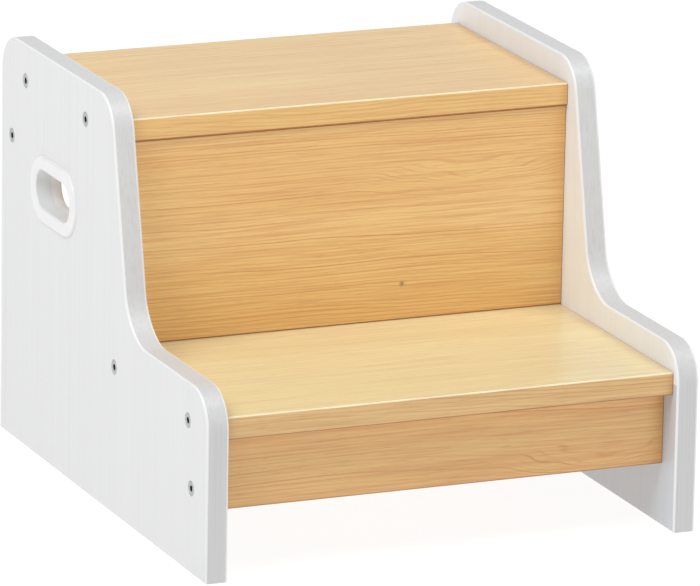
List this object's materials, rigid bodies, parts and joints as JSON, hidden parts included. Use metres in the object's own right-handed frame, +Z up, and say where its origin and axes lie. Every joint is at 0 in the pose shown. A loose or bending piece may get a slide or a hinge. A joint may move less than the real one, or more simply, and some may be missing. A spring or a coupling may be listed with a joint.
{
  "type": "step stool",
  "caption": "Low step stool with a lower and an upper wooden tread between white side panels that have an oval hand grip near the top.",
  "frame": {"origin": "middle of the footprint on the floor, under the centre of the stool", "axes": "+Z up, -Y towards the user who steps on, +Y to the rear, +X towards the right-hand panel as the user sees it; the stool is mirror-symmetric in X"},
  "size_m": [0.351, 0.38, 0.28],
  "materials": {
    "white_paint": "satin white paint over a faint upright grain",
    "tread_wood": "clear satin lacquer over pale straight-grained wood",
    "riser_wood": "clear satin lacquer over warm straight-grained wood",
    "rail_wood": "clear satin lacquer over darker straight-grained wood",
    "dowel_wood": "bare fluted hardwood",
    "grip_plastic": "smooth white moulded plastic",
    "screw_steel": "zinc-plated steel with a black hexagon socket"
  },
  "bodies": {
    "root": {"side_panel_left": "white_paint", "side_panel_right": "white_paint", "lower_tread": "tread_wood", "upper_tread": "tread_wood", "riser": "riser_wood", "front_apron": "rail_wood", "rear_rail": "rail_wood", "grip_outer_left": "grip_plastic", "grip_inner_left": "grip_plastic", "grip_outer_right": "grip_plastic", "grip_inner_right": "grip_plastic", "screw_apron_left": "screw_steel", "screw_lower_tread_front_left": "screw_steel", "screw_lower_tread_rear_left": "screw_steel", "screw_upper_tread_front_left": "screw_steel", "screw_upper_tread_rear_left": "screw_steel", "screw_rear_rail_left": "screw_steel", "screw_apron_right": "screw_steel", "screw_lower_tread_front_right": "screw_steel", "screw_lower_tread_rear_right": "screw_steel", "screw_upper_tread_front_right": "screw_steel", "screw_upper_tread_rear_right": "screw_steel", "screw_rear_rail_right": "screw_steel", "dowel_apron_left": "dowel_wood", "dowel_riser_low_left": "dowel_wood", "dowel_riser_high_left": "dowel_wood", "dowel_rear_rail_left": "dowel_wood", "dowel_apron_right": "dowel_wood", "dowel_riser_low_right": "dowel_wood", "dowel_riser_high_right": "dowel_wood", "dowel_rear_rail_right": "dowel_wood", "dowel_lower_tread_left": "dowel_wood", "dowel_upper_tread_left": "dowel_wood", "dowel_lower_tread_right": "dowel_wood", "dowel_upper_tread_right": "dowel_wood"}
  },
  "joints": []
}
